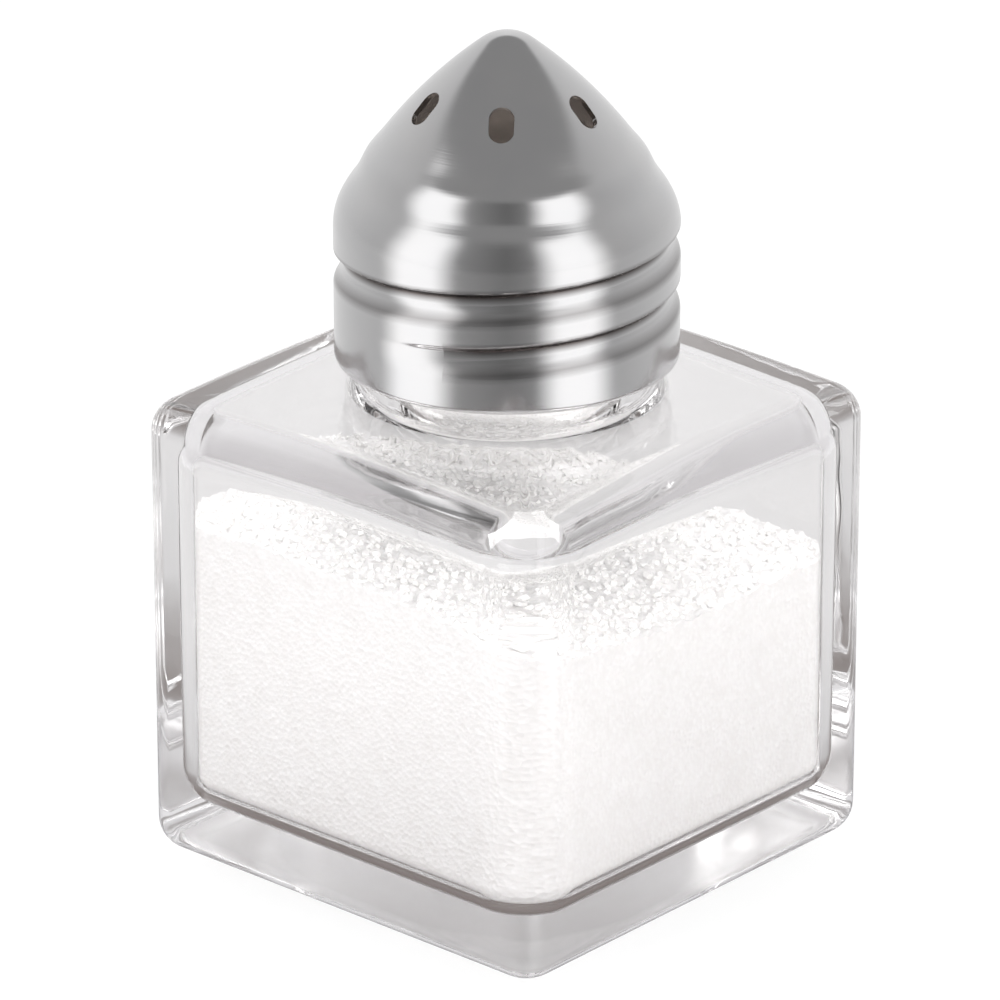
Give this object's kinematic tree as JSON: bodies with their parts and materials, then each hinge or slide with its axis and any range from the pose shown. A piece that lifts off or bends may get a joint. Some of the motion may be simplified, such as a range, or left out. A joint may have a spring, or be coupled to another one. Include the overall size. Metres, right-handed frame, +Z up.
{
  "type": "salt shaker",
  "caption": "Square clear glass salt shaker with a pointed spun steel dome cap that screws on and holds sprinkling holes, filled with salt.",
  "frame": {"origin": "middle of the jar's underside, on the plane that it stands on", "axes": "+Z up along the jar and the cap, +X and +Y square to two sides of the jar"},
  "size_m": [0.04, 0.04, 0.066],
  "materials": {
    "clear_glass": "clear pressed soda glass, fire-polished",
    "spun_steel": "satin, with fine rings from spinning",
    "table_salt": "white crystal grains"
  },
  "bodies": {
    "jar": {"glass_jar": "clear_glass", "salt": "table_salt"},
    "cap": {"cap": "spun_steel"}
  },
  "joints": [
    {"name": "cap_lift", "type": "slide", "parent": "jar", "child": "cap", "axis": [0, 0, 1], "range_m": [0, 0.03]}
  ]
}
